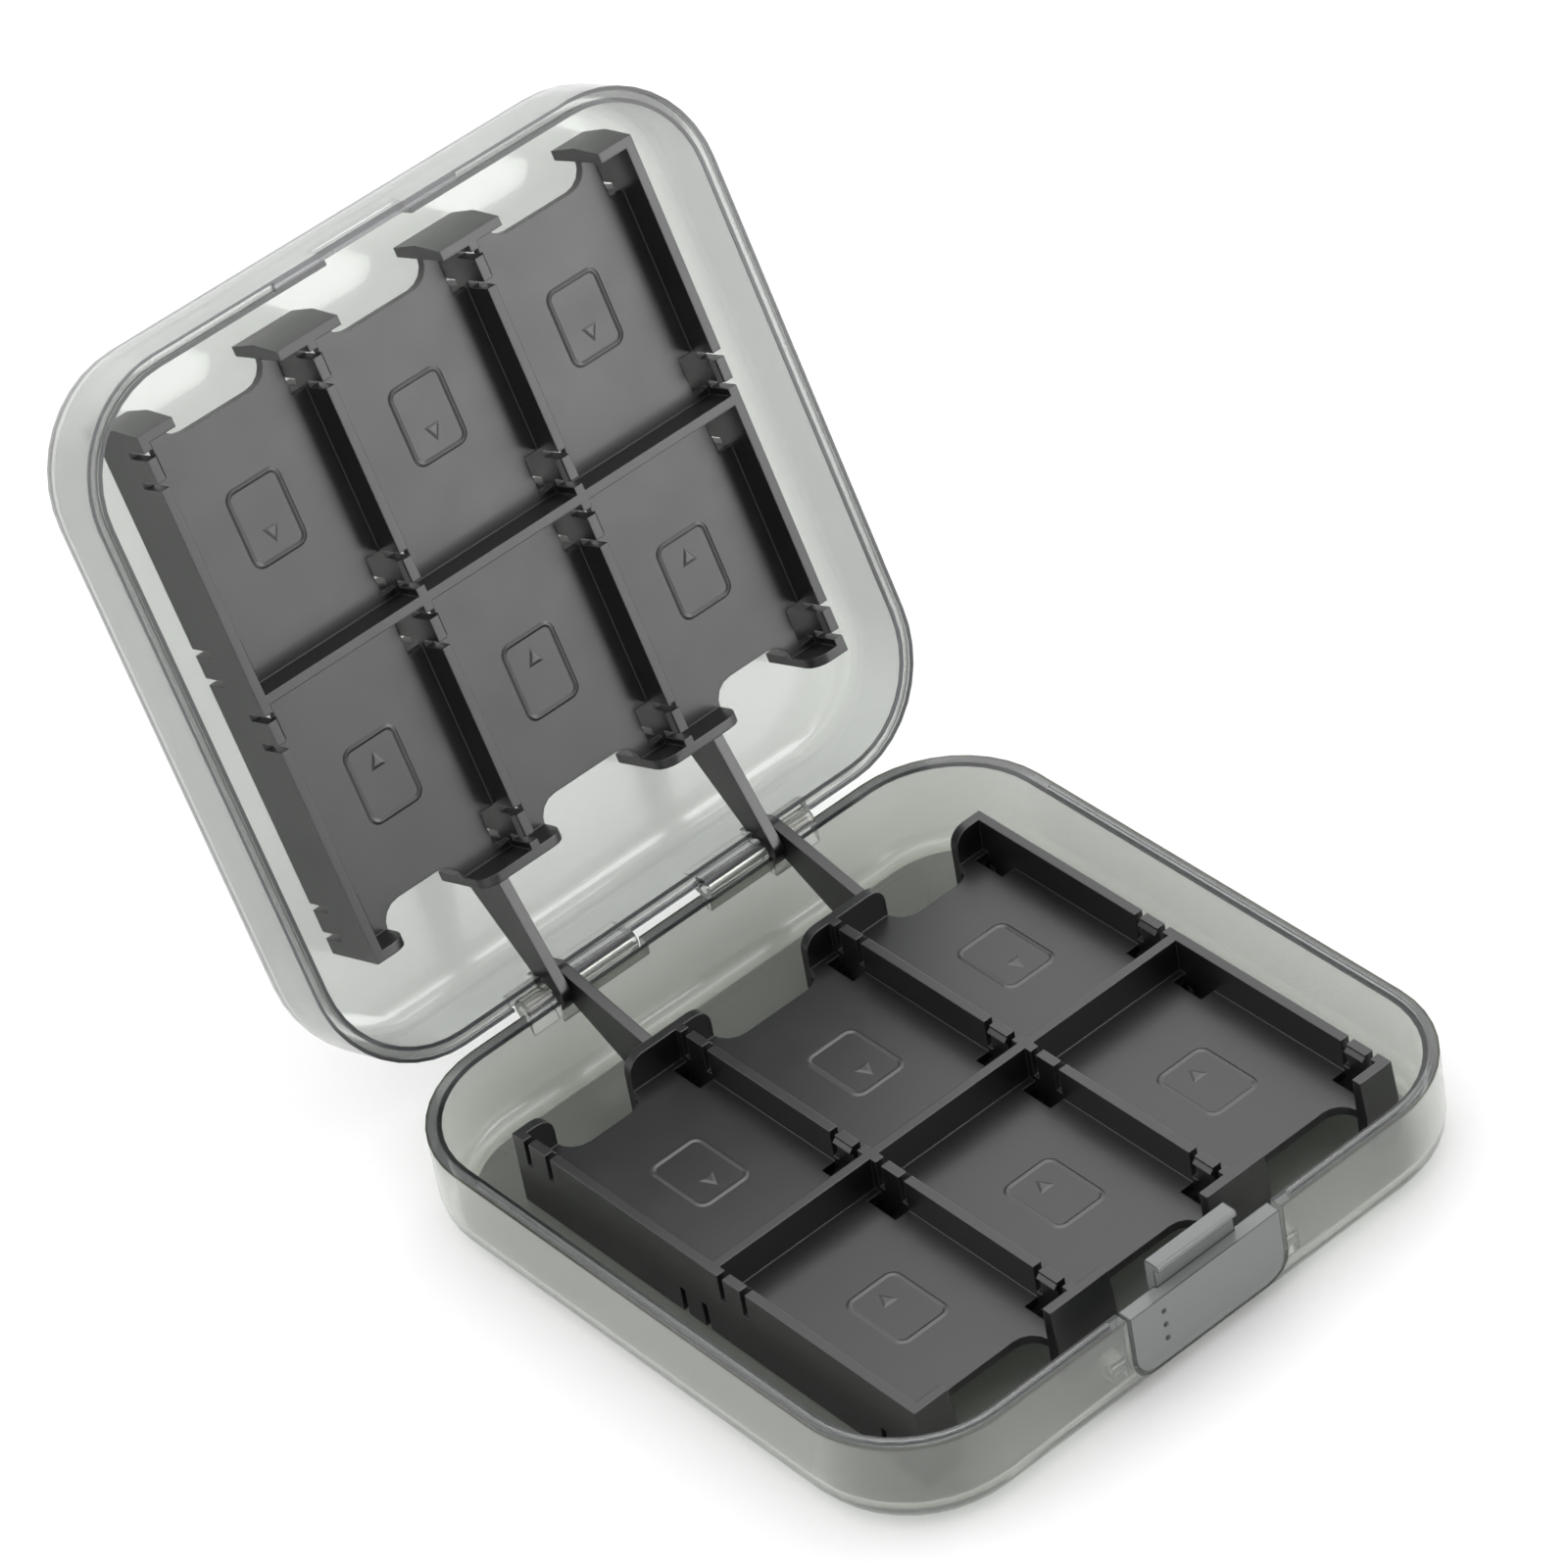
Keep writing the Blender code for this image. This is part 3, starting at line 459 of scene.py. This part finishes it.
def latch_dots(material):
    """Small raised dots in a column on the left of the latch panel."""
    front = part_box("latch")[0].y
    flat = Matrix.Diagonal((1.0, 1.0, DOT_FLATNESS, 1.0))
    bm = bmesh.new()
    for i in range(DOT_COUNT):
        place = Matrix.Translation((DOT_SIDE, front, DOT_TOP - i * DOT_PITCH))
        matrix = place @ Matrix.Rotation(math.pi / 2, 4, "X") @ flat
        bmesh.ops.create_uvsphere(bm, u_segments=16, v_segments=10, radius=DOT_RADIUS, matrix=matrix)
    mesh = bpy.data.meshes.new("latch_dots")
    bm.to_mesh(mesh)
    bm.free()
    item = bpy.data.objects.new("latch_dots", mesh)
    bpy.context.scene.collection.objects.link(item)
    dress(item, material)
    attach(item, "latch_panel")


def make_floor():
    """A plain flat floor, wide enough to fill every view."""
    bm = bmesh.new()
    bmesh.ops.create_grid(bm, x_segments=1, y_segments=1, size=3.0)
    mesh = bpy.data.meshes.new("floor")
    bm.to_mesh(mesh)
    bm.free()
    item = bpy.data.objects.new("floor", mesh)
    bpy.context.scene.collection.objects.link(item)
    item.data.materials.append(floor_paper())


def view_axes():
    """Right, up and back directions of the camera."""
    azimuth = math.radians(CAMERA_AZIMUTH)
    elevation = math.radians(CAMERA_ELEVATION)
    roll = math.radians(CAMERA_ROLL)
    level = math.cos(elevation)
    back = Vector((math.sin(azimuth) * level, -math.cos(azimuth) * level, math.sin(elevation)))
    side = Vector((0, 0, 1)).cross(back).normalized()
    up = back.cross(side)
    right = side * math.cos(roll) + up * math.sin(roll)
    return right, up * math.cos(roll) - side * math.sin(roll), back


def make_camera():
    """The camera, at the photograph's angle and framing."""
    right, up, back = view_axes()
    data = bpy.data.cameras.new("camera")
    data.lens = CAMERA_LENS
    data.sensor_width = SENSOR
    data.clip_start = 0.01
    data.clip_end = 20.0
    item = bpy.data.objects.new("camera", data)
    bpy.context.scene.collection.objects.link(item)
    place = back * CAMERA_DISTANCE + right * CAMERA_RIGHT + up * CAMERA_UP
    item.matrix_world = Matrix.Translation(place) @ Matrix((right, up, back)).transposed().to_4x4()
    bpy.context.scene.camera = item


def area_light(name, place, target, size, power):
    """A softbox seen as a reflection: it brightens glossy faces alone."""
    data = bpy.data.lights.new(name, "AREA")
    data.shape = "RECTANGLE"
    data.size, data.size_y = size
    data.energy = power
    item = bpy.data.objects.new(name, data)
    bpy.context.scene.collection.objects.link(item)
    item.visible_diffuse = False
    item.location = place
    item.rotation_euler = (Vector(place) - Vector(target)).to_track_quat("Z", "Y").to_euler()


def make_light():
    """A bright studio, dimmer where the photographer stands, with softboxes
    overhead and in front."""
    world = bpy.data.worlds.new("studio")
    bpy.context.scene.world = world
    world.use_nodes = True
    tree = world.node_tree
    shade = tree.nodes["Background"]
    shade.inputs["Color"].default_value = (1.0, 1.0, 1.0, 1.0)
    place = tree.nodes.new("ShaderNodeTexCoord")
    toward = tree.nodes.new("ShaderNodeVectorMath")
    toward.operation = "DOT_PRODUCT"
    toward.inputs[1].default_value = DIM_SIDE
    tree.links.new(place.outputs["Generated"], toward.inputs[0])
    strength = tree.nodes.new("ShaderNodeMapRange")
    strength.inputs["From Min"].default_value = 0.0
    strength.inputs["From Max"].default_value = 0.9
    strength.inputs["To Min"].default_value = STUDIO_BRIGHT
    strength.inputs["To Max"].default_value = STUDIO_DIM
    tree.links.new(toward.outputs["Value"], strength.inputs["Value"])
    tree.links.new(strength.outputs["Result"], shade.inputs["Strength"])
    area_light("top_softbox", (0.15, 0.1, 1.15), (0, 0, 0), (1.0, 1.0), 4.5)
    area_light("front_softbox", (0.85, -1.05, 0.35), (0, 0, 0.03), (0.9, 0.9), 12.0)
    bpy.context.scene.view_settings.view_transform = "Standard"


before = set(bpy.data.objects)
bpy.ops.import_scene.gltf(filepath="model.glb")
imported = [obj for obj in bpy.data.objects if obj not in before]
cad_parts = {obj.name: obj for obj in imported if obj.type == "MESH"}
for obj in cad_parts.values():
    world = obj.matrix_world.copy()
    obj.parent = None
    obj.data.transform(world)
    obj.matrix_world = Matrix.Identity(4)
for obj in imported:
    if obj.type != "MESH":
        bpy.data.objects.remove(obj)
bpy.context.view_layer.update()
make_camera()
make_light()
make_floor()

lid_top = RIM_HEIGHT + SEAM_GAP
base_rim = (0.0, RIM_HEIGHT - RIM_BEGIN, RIM_HEIGHT - RIM_FULL, BASE_RIM_PAINTED_LIGHT)
lid_rim = (OPEN_ANGLE, lid_top + RIM_BEGIN, lid_top + RIM_FULL, LID_RIM_PAINTED_LIGHT)
base_smoke = smoke_plastic("base_plastic", 0.86, BASE_FACE, BASE_DEEP, base_rim)
lid_smoke = smoke_plastic("lid_plastic", 0.86, LID_FACE, LID_DEEP, lid_rim)
latch_smoke = smoke_plastic("latch_plastic", 0.3, (0.25, 0.26, 0.26), (0.26, 0.27, 0.27))
# Near-black plastic for the latch dots: painted shade on the small bumps
dot_shade_plastic = smoke_plastic("dot_plastic", 0.2, (0.05, 0.05, 0.055), (0.03, 0.03, 0.03))
black = tray_plastic("tray_plastic", (0.004, 0.004, 0.005), (0.007, 0.007, 0.008))
# A lighter copy of the tray plastic for the pocket marks: painted highlight
highlit_mark_plastic = tray_plastic("mark_plastic", (0.026, 0.026, 0.028), (0.034, 0.034, 0.036))
steel = pin_steel()
for name, material in (
    ("base_shell", base_smoke),
    ("lid_shell", lid_smoke),
    ("latch", latch_smoke),
    ("base_tray", black),
    ("lid_tray", black),
    ("hinge_pin_left", steel),
    ("hinge_pin_right", steel),
):
    dress(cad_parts[name], material)

turn_over = Matrix.Translation(HINGE) @ Matrix.Rotation(math.pi, 4, "Y") @ Matrix.Translation(-HINGE)
open_up = Matrix.Translation(HINGE) @ Matrix.Rotation(-OPEN_ANGLE, 4, "X") @ Matrix.Translation(-HINGE)
for name, body, placing in (
    ("base_pocket_marks", "base_page", Matrix.Identity(4)),
    ("lid_pocket_marks", "lid_page", open_up @ turn_over),
):
    marks = pocket_marks(name, placing)
    dress(marks, highlit_mark_plastic, MARK_CREASE)
    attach(marks, body)
latch_dots(dot_shade_plastic)
